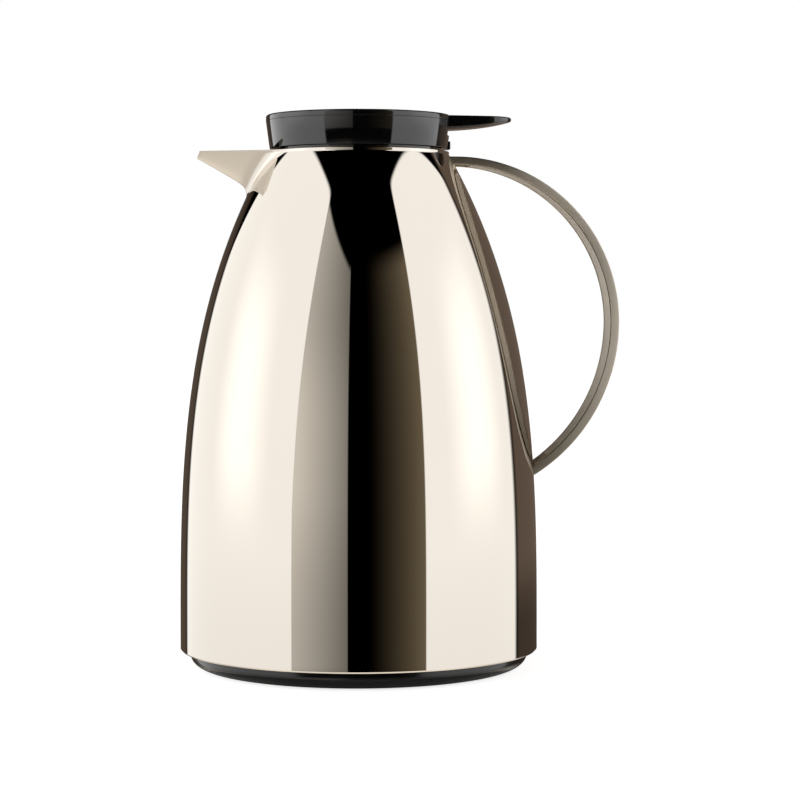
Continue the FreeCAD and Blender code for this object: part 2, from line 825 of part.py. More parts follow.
def stem_clip():
    """Round clip in the stem's groove, open on one side."""
    inner = stem_radius - groove_depth + clip_fit
    solid = ring(inner, clip_radius, clip_z, clip_z + clip_thickness)
    mouth = block((-clip_radius, 0), (-inner, inner), (clip_z - overrun, clip_z + clip_thickness + overrun))
    return solid.cut(mouth)


def arc_leg(start, pull, end):
    """Arc that leaves start towards pull and arrives at end from it."""
    run = (pull - start).Length
    weight = (end - start).Length / (2 * run)
    middle = (start + pull * (2 * weight) + end) * (1 / (2 + 2 * weight))
    return Part.Arc(start, middle, end).toShape()


def coil_point(share, low, high):
    """Point and direction on the coil's centre line at a share of its length."""
    angle = 2 * math.pi * spring_turns * share
    point = Vector(spring_radius * math.cos(angle), spring_radius * math.sin(angle), low + (high - low) * share)
    climb = (high - low) / (2 * math.pi * spring_turns)
    direction = Vector(-spring_radius * math.sin(angle), spring_radius * math.cos(angle), climb)
    return point, direction.normalize()


def valve_spring():
    """Return spring of the valve: one round wire wound on pairs of tangent arcs."""
    low = spring_seat_z + spring_wire_radius + spring_end_gap
    high = spring_top_z - spring_wire_radius - spring_end_gap
    count = spring_turns * turn_steps
    legs = []
    for step in range(count):
        start, leaving = coil_point(step / count, low, high)
        end, arriving = coil_point((step + 1) / count, low, high)
        span = end - start
        both = leaving + arriving
        turned = 2 * (1 - leaving.dot(arriving))
        along = span.dot(both)
        reach = (math.sqrt(along ** 2 + turned * span.dot(span)) - along) / turned
        first_pull = start + leaving * reach
        second_pull = end - arriving * reach
        middle = (first_pull + second_pull) * (1 / 2)
        legs += [arc_leg(start, first_pull, middle), arc_leg(middle, second_pull, end)]
    start, leaving = coil_point(0, low, high)
    section = Part.Wire([Part.Circle(start, leaving, spring_wire_radius).toShape()])
    print("spring's least gap to itself, mm:", round(coil_gap(low, high), 2))
    return Part.Wire(legs).makePipeShell([section], True, False)


def coil_gap(low, high):
    """Least gap between neighbouring turns, measured on points of the centre line."""
    samples = spring_turns * gap_samples
    points = [coil_point(k / samples, low, high)[0] for k in range(samples + 1)]
    gaps = []
    for index, point in enumerate(points):
        for other in points[index + gap_samples // 2:]:
            gaps.append(point.distanceToPoint(other))
    return min(gaps) - 2 * spring_wire_radius


def stopper_screws():
    """Slotted screws that hold the lid's floor on the stopper's bosses."""
    head_top = floor_top_z + screw_head_height
    screw = post(screw_radius, boss_circle, floor_z - screw_length, floor_top_z + screw_head_height)
    screw = screw.fuse(post(screw_head_radius, boss_circle, floor_top_z, head_top))
    x = (boss_circle - screw_head_radius - overrun, boss_circle + screw_head_radius + overrun)
    y = (-screw_slot_width / 2, screw_slot_width / 2)
    screw = screw.cut(block(x, y, (head_top - screw_slot_depth, head_top + overrun)))
    return Part.makeCompound(round_copies(screw.removeSplitter(), screw_count))


pieces = [
    outer_shell, base_cap, handle_frame, handle_inlay, handle_lock_pegs, neck_collar,
    liner_outer_flask, liner_inner_flask, liner_spacers, liner_gasket, liner_cushion,
    stopper_gasket, stopper_body, lid_drum, lid_cap, thumb_lever, lever_pin,
    valve_stem, valve_seal, stem_clip, valve_spring, stopper_screws,
]
os.makedirs("parts", exist_ok=True)
for make in pieces:
    shape = make()
    name = make.__name__
    print(name, "solids", len(shape.Solids), "valid", shape.isValid(), "volume", round(shape.Volume, 1))
    shape.exportStep(os.path.join("parts", name + ".step"))
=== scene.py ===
import cmath
import json
import math

import bmesh
import bpy
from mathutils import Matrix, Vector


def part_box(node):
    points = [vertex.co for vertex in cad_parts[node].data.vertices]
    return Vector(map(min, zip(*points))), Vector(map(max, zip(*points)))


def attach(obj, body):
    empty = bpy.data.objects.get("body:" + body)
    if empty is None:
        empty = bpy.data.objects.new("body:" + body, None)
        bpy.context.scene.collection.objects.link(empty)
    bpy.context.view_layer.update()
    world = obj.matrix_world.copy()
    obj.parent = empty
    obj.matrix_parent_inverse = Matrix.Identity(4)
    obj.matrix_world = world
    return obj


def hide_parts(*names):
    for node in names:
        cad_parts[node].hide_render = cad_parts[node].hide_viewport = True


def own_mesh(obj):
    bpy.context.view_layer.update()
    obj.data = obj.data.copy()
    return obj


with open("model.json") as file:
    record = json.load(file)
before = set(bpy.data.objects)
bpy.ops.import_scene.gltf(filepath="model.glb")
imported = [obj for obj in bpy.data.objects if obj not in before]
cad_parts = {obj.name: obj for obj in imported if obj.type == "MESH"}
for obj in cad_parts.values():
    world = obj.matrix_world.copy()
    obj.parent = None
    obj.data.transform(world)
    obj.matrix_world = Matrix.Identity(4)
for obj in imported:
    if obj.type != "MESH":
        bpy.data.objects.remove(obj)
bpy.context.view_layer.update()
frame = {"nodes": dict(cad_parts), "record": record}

bl_info = {
    "name": "Thermal pot",
    "version": (1, 0, 0),
    "blender": (4, 5, 0),
    "location": "View3D > Sidebar > Pot",
    "description": "Builds the look of a thermal pot around its packed solids",
    "category": "Mesh",
}

MM = 0.001
TINY = 1e-7
CUT_ANGLE = math.radians(50)
SHARP_ANGLE = math.radians(32)
SENSOR_MM = 36.0
WHITE = (1.0, 1.0, 1.0, 1.0)


# Properties

def linear(code):
    """Linear colour of an sRGB hex code."""
    shades = [int(code[start:start + 2], 16) / 255 for start in (1, 3, 5)]
    return tuple(s / 12.92 if s <= 0.04045 else ((s + 0.055) / 1.055) ** 2.4 for s in shades)


def length(description, millimetres):
    """Length property that is kept in metres."""
    return bpy.props.FloatProperty(description=description, default=millimetres * MM, unit="LENGTH", precision=5)


def ratio(description, default):
    """Plain number property."""
    return bpy.props.FloatProperty(description=description, default=default, precision=4)


def count(description, default):
    """Whole number property."""
    return bpy.props.IntProperty(description=description, default=default, min=1)


def tint(description, code):
    """Colour property."""
    return bpy.props.FloatVectorProperty(description=description, default=linear(code), subtype="COLOR", size=3,
                                         min=0.0, max=1.0)


class PotShellSizes(bpy.types.PropertyGroup):
    """Sizes of the mirror shell and its beak"""
    bottom_z: length("Height of the shell's lower edge", 7.5)
    rim_z: length("Height of the rim", 210.2)
    belly_radius: length("Radius at the lower edge", 73.0)
    rim_radius: length("Radius at the rim", 36.2)
    wall: length("Thickness of the body's wall", 2.2)
    taper_power: ratio("How late the body draws in towards the rim", 3.15)
    edge_bevel: length("Bevel of the lower edge", 0.6)
    rim_round: length("Rounding of the rim's edges", 0.25)
    beak_length: length("How far the beak stands out from the rim", 28.4)
    beak_tip_half_width: length("Half width of the beak at its tip", 2.6)
    beak_root_depth: length("How far the beak starts inside the rim", 8.2)
    beak_root_half_width: length("Half width of the beak at its start", 16.1)
    beak_depth_ratio: ratio("Depth of the V for each half width", 1.515)
    beak_lean: ratio("How far the beak's end leans out for each fall", 0.36)
    beak_wall: length("Thickness of the beak's wall", 1.0)
    keel_round: ratio("Rounding of the beak's keel, for each metre of fall", 2.82)
    rim_band: length("Height of the upright band at the rim", 1.2)
    outer_blend: length("Width of the blend between beak and body", 7.0)
    inner_blend: length("Width of the blend inside the beak", 2.0)


class PotBaseSizes(bpy.types.PropertyGroup):
    """Sizes of the base"""
    foot_inner: length("Inner radius of the foot ring", 52.0)
    foot_outer: length("Outer radius of the foot ring", 60.0)
    foot_chamfer: length("Chamfer inside the foot ring", 0.3)
    radius: length("Radius of the base", 68.9)
    round_height: length("Height of the round side", 5.5)
    recess: length("Height of the underside inside the foot ring", 3.0)
    floor_z: length("Height of the floor inside", 5.5)
    skirt_top: length("Height of the skirt inside the shell", 23.9)
    skirt_wall: length("Thickness of the skirt", 2.2)


class PotHandleSizes(bpy.types.PropertyGroup):
    """Sizes of the strap handle"""
    reach: length("Distance of the strap's outer face from the axis", 106.4)
    top_z: length("Height of the strap's top", 208.2)
    upper_radius: length("Radius of the upper bend", 67.2)
    lower_radius: length("Radius of the lower bend", 73.5)
    width: length("Width of the strap", 18.5)
    thickness: length("Thickness of the strap", 3.2)
    flange: length("Width of the strap on each side of its groove", 1.0)
    groove: length("Depth of the groove in the inner face", 1.6)
    edge_round: length("Rounding of the strap's edges", 0.45)
    inlay_half_width: length("Half width of the inlay", 6.63)
    inlay_end: length("Distance of the inlay's ends from the shell", 6.0)
    root_sink: length("How deep the strap's ends sit in the shell's wall", 1.7)
    steps: count("Points along the strap", 220)


class PotLidSizes(bpy.types.PropertyGroup):
    """Sizes of the lid"""
    low_z: length("Height of the drum's lower edge", 211.4)
    cap_z: length("Height of the joint between drum and cap", 222.6)
    top_z: length("Height of the lid's top", 225.0)
    low_radius: length("Radius of the drum's lower edge", 36.2)
    top_radius: length("Radius of the cap", 37.7)
    wall: length("Thickness of the drum's wall", 2.0)
    register_radius: length("Radius of the step that sits in the rim", 33.5)
    register_z: length("Height of that step's underside", 209.6)
    floor_top: length("Height of the floor's upper face", 212.0)
    stem_hole: length("Radius of the hole for the valve's stem", 2.58)
    cap_round: length("Rounding of the lid's top edge", 0.9)
    edge_round: length("Rounding of the other edges", 0.3)
    slot_half_width: length("Half width of the slot for the lever", 11.4)
    slot_z: length("Height of the slot's lower edge", 216.7)
    lug_half_width: length("Half width of the lug", 3.0)
    lug_height: length("Height of the lug", 3.3)
    lug_depth: length("How far the lug stands out", 1.2)


class PotLeverSizes(bpy.types.PropertyGroup):
    """Sizes of the thumb lever"""
    pin_x: length("Distance of the lever's pin from the axis", 27.0)
    pin_z: length("Height of the lever's pin", 215.5)
    pin_hole: length("Radius of the hole for the pin", 1.55)
    hub_radius: length("Radius of the hub", 3.2)
    hub_half_width: length("Half width of the hub", 8.5)
    top_z: length("Height of the lever's top", 224.9)
    tip_x: length("Distance of the lever's tip from the axis", 62.7)
    half_width: length("Half width of the tongue", 11.0)
    root_thickness: length("Thickness where it leaves the lid", 5.2)
    tip_thickness: length("Thickness at the tip", 1.8)
    fall: length("How far the top falls towards the tip", 0.4)
    sag: length("How far the underside bows down", 0.5)
    edge_round: length("Rounding of the tongue's edges", 0.8)
    prong_y: length("Distance of each prong from the middle", 3.0)
    prong_width: length("Width of each prong", 3.0)
    prong_thickness: length("Thickness of each prong", 1.7)
    prong_z: length("Height of the prongs' underside", 212.3)


class PotSpringSizes(bpy.types.PropertyGroup):
    """Sizes of the valve's return spring"""
    top_z: length("Height of the face above the spring", 209.6)
    room: length("Distance between the faces above and below it", 23.5)
    travel: length("How far the valve rises", 5.18)
    radius: length("Radius of the coil's middle line", 6.0)
    wire: length("Radius of the wire", 0.55)
    end_gap: length("Gap at each end", 0.15)
    turns: count("Turns of the coil", 7)
    turn_steps: count("Points along each turn", 40)
    wire_steps: count("Points round the wire", 12)


class PotFinishes(bpy.types.PropertyGroup):
    """Colours of the finishes"""
    shell: tint("Metallised champagne", "#CFC8BE")
    black: tint("Gloss black moulding", "#0C0C0D")
    handle: tint("Brushed pewter", "#F0E6D6")
    # The inlay's tone is paler than the strap's to paint the light that the mirror shell throws onto the strip
    inlay: tint("Champagne lacquer of the strip inside the handle", "#FDF4E6")
    moulding: tint("Matt dark moulding", "#5A5A5C")
    glass: tint("Silver seen through glass", "#EDEEEF")
    rubber: tint("Soft grey rubber", "#96989A")
    steel: tint("Drawn steel", "#CECECC")


class PotStageSettings(bpy.types.PropertyGroup):
    """Camera, floor and studio light; angles are in degrees, the light's from the camera's direction"""
    distance: length("Distance of the camera from the axis", 1000.0)
    height: length("Height of the camera", 150.0)
    azimuth: ratio("Place of the camera round the pot", -5.0)
    yaw: ratio("How far the camera turns to its right", 0.968)
    pitch: ratio("How far the camera looks down", 2.343)
    lens: ratio("Focal length on a 36 mm sensor, in millimetres", 110.0)
    floor_size: length("Side of the floor", 8000.0)
    floor_tone: ratio("Share of the light that the floor gives back", 0.85)
    floor_glow: ratio("Light added to the floor where the camera sees it", 0.78)
    floor_near: length("How far off a shiny piece still sees the floor itself", 6.5)
    panel: ratio("Brightness of the two side panels", 1.45)
    panel_hot: ratio("Added brightness in the middle of the panels", 0.45)
    panel_hot_side: ratio("Angle of that middle", 86.0)
    panel_inner: ratio("Angle of the panels' inner edges", 43.0)
    panel_lean: ratio("How far the left panel's inner edge leans in at its top", 8.0)
    panel_left_outer: ratio("Angle of the left panel's outer edge", 144.0)
    panel_right_outer: ratio("Angle of the right panel's outer edge", 120.0)
    panel_middle: ratio("Angle at which the panels are nearest to the pot", 57.0)
    panel_top: ratio("Height of the panels' straight tops there", 52.5)
    panel_left_slope: ratio("How steeply the left panel's top falls off, for each degree", 0.92)
    panel_corner: ratio("Rounding of the panels' upper inner corners", 1.5)
    panel_soft: ratio("Half width of the soft edge along top and inner side", 0.5)
    left_card: tint("Pale card on the left", "#FFFBF4")
    left_card_start: ratio("Angle from which the left card grows brighter", -8.0)
    left_card_dim: ratio("Brightness of the left card there", 0.34)
    right_card: tint("Brown card on the right", "#7C705C")
    right_card_start: ratio("Angle from which the right card grows brighter", 5.0)
    right_card_power: ratio("How late it does so", 1.8)
    backdrop: tint("Dim room behind the pot", "#4A4038")
    table: tint("Warm white table far below the pot", "#FFF8EE")
    bounce: ratio("Brightness of that table", 1.2)


# Shapes as lists of points and faces

def arc(centre, radius, start, end, steps):
    """Points on an arc between two angles."""
    angles = [start + (end - start) * step / steps for step in range(steps + 1)]
    return [(centre[0] + radius * math.cos(a), centre[1] + radius * math.sin(a)) for a in angles]


def rounded(corners, steps=4, most=0.49):
    """Closed outline from (x, y, rounding) corners; most is the share of an edge that one may take."""
    spots = [complex(x, y) for x, y, _ in corners]
    points = []
    for index, spot in enumerate(spots):
        edges = [spots[index - 1] - spot, spots[(index + 1) % len(spots)] - spot]
        one, two = [edge / abs(edge) for edge in edges]
        half = math.acos(max(-1, min(1, (one * two.conjugate()).real))) / 2
        reach = min(corners[index][2] / math.tan(half), most * min(abs(edge) for edge in edges))
        if not reach:
            points.append((spot.real, spot.imag))
            continue
        centre = spot + (one + two) * reach / (2 * math.cos(half) ** 2)
        start = spot + one * reach - centre
        end = spot + two * reach - centre
        first = cmath.phase(start)
        points += arc((centre.real, centre.imag), abs(start), first, first + cmath.phase(end / start), steps)
    return points


def lathe(profile, steps=192):
    """Surface of revolution from a closed profile of (radius, height) points."""
    verts, faces, rings = [], [], []
    for radius, height in profile:
        size = steps if radius > TINY else 1
        rings.append(range(len(verts), len(verts) + size))
        for step in range(size):
            angle = 2 * math.pi * step / size
            verts.append((radius * math.cos(angle), radius * math.sin(angle), height))
    for index, ring in enumerate(rings):
        other = rings[(index + 1) % len(rings)]
        if len(ring) == 1 and len(other) == 1:
            continue
        for step in range(steps):
            after = (step + 1) % steps
            loop = [ring[step % len(ring)], ring[after % len(ring)],
                    other[after % len(other)], other[step % len(other)]]
            faces.append(list(dict.fromkeys(loop)))
    return verts, faces


def block(low, high, rounding=0.0):
    """Box between two corners, with its edges rounded."""
    shape = bmesh.new()
    bmesh.ops.create_cube(shape, size=1)
    for vert in shape.verts:
        vert.co = [a + (b - a) * (c + 0.5) for a, b, c in zip(low, high, vert.co)]
    if rounding:
        bmesh.ops.bevel(shape, geom=shape.edges[:], offset=rounding, segments=3, profile=0.5, affect="EDGES")
    shape.verts.index_update()
    part = ([tuple(v.co) for v in shape.verts], [[v.index for v in f.verts] for f in shape.faces])
    shape.free()
    return part


def block_pair(low, high, rounding):
    """The same box on both sides of the pot's middle plane."""
    return [block((low[0], -high[1], low[2]), (high[0], -low[1], high[2]), rounding), block(low, high, rounding)]


def joined(parts):
    """Several shapes as one."""
    verts, faces = [], []
    for part_verts, part_faces in parts:
        base = len(verts)
        verts += part_verts
        faces += [[base + index for index in face] for face in part_faces]
    return verts, faces


def linked(name, data):
    """Object in the scene with a mesh or a camera."""
    thing = bpy.data.objects.new(name, data)
    bpy.context.scene.collection.objects.link(thing)
    return thing


def make_object(name, part):
    """Object at the origin from points and faces, closed and facing outward."""
    mesh = bpy.data.meshes.new(name)
    mesh.from_pydata(part[0], [], part[1])
    tidy_mesh(mesh)
    return linked(name, mesh)


def tidy_mesh(mesh):
    """Merges doubled points, drops empty faces and turns every face outward."""
    shape = bmesh.new()
    shape.from_mesh(mesh)
    bmesh.ops.remove_doubles(shape, verts=shape.verts[:], dist=2 * TINY)
    bmesh.ops.dissolve_degenerate(shape, edges=shape.edges[:], dist=TINY)
    bmesh.ops.recalc_face_normals(shape, faces=shape.faces[:])
    shape.to_mesh(mesh)
    shape.free()


def bake(thing):
    """Applies the object's modifiers to its mesh."""
    scene_graph = bpy.context.evaluated_depsgraph_get()
    mesh = bpy.data.meshes.new_from_object(thing.evaluated_get(scene_graph))
    thing.modifiers.clear()
    thing.data = mesh
    if not mesh.polygons:
        raise RuntimeError(thing.name + " came out empty")


def cut(thing, part, rounding):
    """Cuts a shape out of an object and rounds the edges that this leaves."""
    cutter = make_object(thing.name + " cutter", part)
    boolean = thing.modifiers.new("Cut", "BOOLEAN")
    boolean.operation = "DIFFERENCE"
    boolean.solver = "EXACT"
    boolean.object = cutter
    bevel = thing.modifiers.new("Round", "BEVEL")
    bevel.width = rounding
    bevel.segments = 2
    bevel.limit_method = "ANGLE"
    bevel.angle_limit = CUT_ANGLE
    bake(thing)
    bpy.data.objects.remove(cutter)


def place(thing, body, slot, look, *nodes):
    """Gives a finished piece its material and its body, and hides the solids that it stands for."""
    thing.data.materials.clear()
    thing.data.materials.append(finish(look))
    thing.data.shade_smooth()
    thing.data.set_sharp_from_angle(angle=SHARP_ANGLE)
    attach(thing, body)
    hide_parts(*nodes)


# Materials

def add_node(tree, kind, settings=None, inputs=None):
    """Adds a node; each input is a plain value or the socket that feeds it."""
    node = tree.nodes.new(kind)
    for name, value in (settings or {}).items():
        setattr(node, name, value)
    for key, value in (inputs or {}).items():
        if isinstance(value, bpy.types.NodeSocket):
            tree.links.new(value, node.inputs[key])
        else:
            node.inputs[key].default_value = value
    return node


def new_tree(owner):
    """Empty node tree of a material or world."""
    owner.use_nodes = True
    owner.node_tree.nodes.clear()
    return owner.node_tree


def vector(tree, operation, inputs):
    """Result of a vector maths node."""
    return add_node(tree, "ShaderNodeVectorMath", {"operation": operation}, inputs).outputs[0]


def across_brush(tree, spot):
    """Direction across the brush lines, which run along the strap, on any of its faces."""
    handle = bpy.context.scene.pot_handle
    centre = (handle.reach - (handle.upper_radius + handle.lower_radius) / 2, 0.0, handle.top_z - handle.upper_radius)
    along = vector(tree, "CROSS_PRODUCT", {0: vector(tree, "SUBTRACT", {0: spot, 1: centre}), 1: (0.0, 1.0, 0.0)})
    face = add_node(tree, "ShaderNodeNewGeometry").outputs["Normal"]
    return vector(tree, "CROSS_PRODUCT", {0: along, 1: face})


def finish_nodes(name, colour, shade, metallic, roughness, drift_mm, relief_mm, relief, coat=0.0, brushed=0.0):
    """Material whose tone and roughness drift softly, over a fine relief."""
    material = bpy.data.materials.new(name)
    tree = new_tree(material)
    spot = add_node(tree, "ShaderNodeTexCoord").outputs["Object"]

    def noise(size_mm, detail):
        return add_node(tree, "ShaderNodeTexNoise", inputs={
            "Vector": spot, "Scale": 1 / (size_mm * MM), "Detail": detail}).outputs[0]

    drift = noise(drift_mm, 3.0)
    deep = [part * shade for part in colour] + [1.0]
    tone = add_node(tree, "ShaderNodeMix", {"data_type": "RGBA"},
                    {0: drift, 6: deep, 7: list(colour) + [1.0]}).outputs[2]
    rough = add_node(tree, "ShaderNodeMapRange", inputs={"Value": drift, "From Min": 0.3, "From Max": 0.7,
                                                         "To Min": roughness[0], "To Max": roughness[1]})
    bump = add_node(tree, "ShaderNodeBump", inputs={
        "Strength": 1.0, "Distance": relief * MM, "Height": noise(relief_mm, 2.0)})
    shader = add_node(tree, "ShaderNodeBsdfPrincipled", inputs={
        "Base Color": tone, "Metallic": metallic, "Roughness": rough.outputs[0], "IOR": 1.5,
        "Coat Weight": coat, "Coat Roughness": 0.04, "Coat IOR": 1.5, "Normal": bump.outputs[0]})
    if brushed:
        shader.inputs["Anisotropic"].default_value = brushed
        tree.links.new(across_brush(tree, spot), shader.inputs["Tangent"])
    add_node(tree, "ShaderNodeOutputMaterial", inputs={"Surface": shader.outputs[0]})
    return material


def finish(look):
    """Material of a look, made once; each of the record's slots is a look too."""
    made = bpy.data.materials.get(FINISHES[look][0])
    if made:
        return made
    name, colour, settings = FINISHES[look]
    return finish_nodes(name, getattr(bpy.context.scene.pot_finishes, colour), *settings)


# Name, colour property, then: shade of the darker tone, metallic, roughness range, size of the
# drift in mm, size of the relief in mm, height of the relief in mm, coat, brushing
FINISHES = {
    # A near mirror: the studio's panels stand in it as clean bands, only faintly uneven
    "shell_chrome": ("Metallised champagne mirror", "shell", (0.97, 1.0, (0.005, 0.02), 60.0, 14.0, 0.0002)),
    # Deep black that takes sharp grey panel reflections
    "black_plastic": ("Gloss black moulding", "black", (0.8, 0.0, (0.05, 0.1), 25.0, 1.2, 0.0002, 0.6)),
    # Black that is less polished than the lid's, so it stays dark next to the bright floor; on the inlay's sides it is
    # painted shade for the gap beside the strip
    "black_base_and_gap_shade": ("Satin black moulding", "black", (0.8, 0.0, (0.16, 0.22), 25.0, 1.2, 0.0002)),
    # Brushed along the strap: dark where that runs level, bright where it stands upright
    "handle_pewter": ("Brushed pewter", "handle", (0.9, 1.0, (0.4, 0.46), 18.0, 0.35, 0.0003, 0.0, 0.97)),
    # Duller than the strap round it, and paler to paint the light that the mirror shell throws onto the strip
    "inlay_painted_bounce_light": ("Satin champagne lacquer", "inlay", (0.95, 0.15, (0.46, 0.52), 18.0, 0.35, 0.0003)),
    # Dull moulded surface inside the neck
    "inner_plastic": ("Matt dark moulding", "moulding", (0.85, 0.0, (0.5, 0.62), 12.0, 0.5, 0.004)),
    # Bright silver behind glass
    "silvered_glass": ("Silvered glass", "glass", (0.92, 1.0, (0.03, 0.09), 35.0, 9.0, 0.002)),
    # Dull, soft and slightly cloudy
    "seal_rubber": ("Soft grey rubber", "rubber", (0.8, 0.0, (0.6, 0.75), 6.0, 0.4, 0.006)),
    # Bright wire and pins with a little drawing haze
    "steel": ("Drawn bright steel", "steel", (0.85, 1.0, (0.2, 0.3), 5.0, 0.3, 0.001)),
}


# Shell

def body_radius(sizes, z):
    """Outer radius of the body at a height."""
    share = max(0.0, (z - sizes.bottom_z) / (sizes.rim_z - sizes.bottom_z))
    return sizes.belly_radius - (sizes.belly_radius - sizes.rim_radius) * share ** sizes.taper_power


def beak_reach(sizes, angle, fall, inset):
    """Distance of the beak's side from the axis, at an angle from its middle and a fall below the rim."""
    if abs(angle) > math.pi / 2:
        return 0.0
    root = sizes.rim_radius - sizes.beak_root_depth
    narrowing = (sizes.beak_root_half_width - sizes.beak_tip_half_width) / (sizes.beak_root_depth + sizes.beak_length)
    slant = math.hypot(1, sizes.beak_depth_ratio)
    room = sizes.beak_root_half_width + narrowing * (sizes.beak_lean * fall + root)
    room -= (inset * slant + fall) / sizes.beak_depth_ratio
    return room / (math.hypot(math.sin(angle), sizes.keel_round * fall) + narrowing * math.cos(angle))


def tip_reach(sizes, angle, fall):
    """Distance of the beak's end plane from the axis; there is none beside the beak."""
    beside = math.pi / 3
    if abs(angle) > beside:
        return math.inf
    return (sizes.rim_radius + sizes.beak_length + sizes.beak_lean * fall) / math.cos(angle)


def soft_max(one, two, blend):
    """The larger of two radii, with a round transition where they are close."""
    share = min(1.0, max(0.0, 0.5 + 0.5 * (two - one) / blend))
    return one + (two - one) * share + blend * share * (1 - share)


def outside(sizes, angle, fall):
    """Outer radius of body and beak."""
    reach = beak_reach(sizes, angle, fall, 0.0)
    body = body_radius(sizes, sizes.rim_z - max(fall, sizes.rim_band))
    return min(soft_max(body, reach, sizes.outer_blend), tip_reach(sizes, angle, fall))


def inside(sizes, angle, fall):
    """Inner radius of body and beak."""
    reach = beak_reach(sizes, angle, fall, sizes.beak_wall)
    return soft_max(body_radius(sizes, sizes.rim_z - fall) - sizes.wall, reach, sizes.inner_blend)


def mouth_fall(sizes, angle, halvings=40):
    """Fall at which the channel comes out through the beak's end, or none beside it."""
    if inside(sizes, angle, 0.0) <= tip_reach(sizes, angle, 0.0):
        return 0.0
    low, high = 0.0, sizes.beak_length
    for _ in range(halvings):
        middle = (low + high) / 2
        if inside(sizes, angle, middle) > tip_reach(sizes, angle, middle):
            low = middle
        else:
            high = middle
    return high


def shell_column(sizes, angle, rows, inner_rows, gather=2.2, rim_share=0.3):
    """(radius, fall) points up the outside, over the rim and down the inside, closer together at the rim."""
    top = mouth_fall(sizes, angle)
    depth = sizes.rim_z - sizes.bottom_z
    edge = 0.0
    if not top:
        edge = min(sizes.rim_round, rim_share * (outside(sizes, angle, 0.0) - inside(sizes, angle, 0.0)))
    points = [(body_radius(sizes, sizes.bottom_z) - sizes.edge_bevel, depth)]
    start = top + edge
    end = depth - sizes.edge_bevel
    for row in range(rows, -1, -1):
        fall = start + (end - start) * (row / rows) ** gather
        points.append((outside(sizes, angle, fall), fall))
    outer = points[-1][0]
    inner = min(inside(sizes, angle, start), outer)
    turns = (math.pi / 6, math.pi / 3, math.pi / 2)
    points += [(outer - edge * (1 - math.cos(turn)), start - edge * math.sin(turn)) for turn in turns]
    points += [(inner + edge * (1 - math.cos(turn)), start - edge * math.sin(turn)) for turn in reversed(turns)]
    for row in range(inner_rows + 1):
        fall = start + (depth - start) * (row / inner_rows) ** gather
        points.append((min(inside(sizes, angle, fall), outside(sizes, angle, fall)), fall))
    return points


def shell_part(sizes, columns=400, rows=110, inner_rows=50, gather=1.7):
    """Body and beak as one closed skin, with columns closer together at the beak."""
    verts, faces = [], []
    size = 0
    for column in range(columns):
        along = 2 * column / columns - 1
        angle = math.copysign(math.pi * abs(along) ** gather, along)
        points = shell_column(sizes, angle, rows, inner_rows)
        size = len(points)
        for radius, fall in points:
            verts.append((-radius * math.cos(angle), radius * math.sin(angle), sizes.rim_z - fall))
    for column in range(columns):
        here = column * size
        there = (column + 1) % columns * size
        for row in range(size):
            after = (row + 1) % size
            faces.append([here + row, there + row, there + after, here + after])
    return verts, faces


class PotBuildShell(bpy.types.Operator):
    """Builds the mirror shell with its beak"""
    bl_idname = "pot.build_shell"
    bl_label = "Build shell"

    def execute(self, context):
        thing = make_object("shell", shell_part(context.scene.pot_shell))
        place(thing, "jug", "shell_chrome", "shell_chrome", "outer_shell")
        return {"FINISHED"}


class PotBuildBase(bpy.types.Operator):
    """Builds the black base"""
    bl_idname = "pot.build_base"
    bl_label = "Build base"

    def execute(self, context):
        sizes = context.scene.pot_base
        width = sizes.radius - sizes.foot_outer
        inner = sizes.radius - sizes.skirt_wall
        steps = 12
        profile = [(0.0, sizes.recess), (sizes.foot_inner, sizes.recess), (sizes.foot_inner + sizes.foot_chamfer, 0.0)]
        for step in range(steps + 1):
            angle = math.pi / 2 * step / steps
            profile.append((sizes.foot_outer + width * math.sin(angle), sizes.round_height * (1 - math.cos(angle))))
        profile += [(sizes.radius, sizes.skirt_top), (inner, sizes.skirt_top), (inner, sizes.floor_z),
                    (0.0, sizes.floor_z)]
        thing = make_object("base", lathe(profile))
        place(thing, "jug", "black_plastic", "black_base_and_gap_shade", "base_cap")
        return {"FINISHED"}


# Handle

def strap_line(shell, handle, inset, stand_off, level_steps=100, bend_steps=400):
    """Points along the strap at a depth under its outer face, from upper to lower end."""
    middle_z = handle.top_z - handle.upper_radius
    upper_x = handle.reach - handle.upper_radius
    lower_x = handle.reach - handle.lower_radius
    start = shell.rim_radius / 2
    points = [(start + (upper_x - start) * step / level_steps, handle.top_z - inset) for step in range(level_steps)]
    points += arc((upper_x, middle_z), handle.upper_radius - inset, math.pi / 2, 0.0, bend_steps)
    points += arc((lower_x, middle_z), handle.lower_radius - inset, 0.0, -math.pi / 2, bend_steps)[1:]
    return [(x, 0.0, z) for x, z in points if x > body_radius(shell, z) + stand_off]


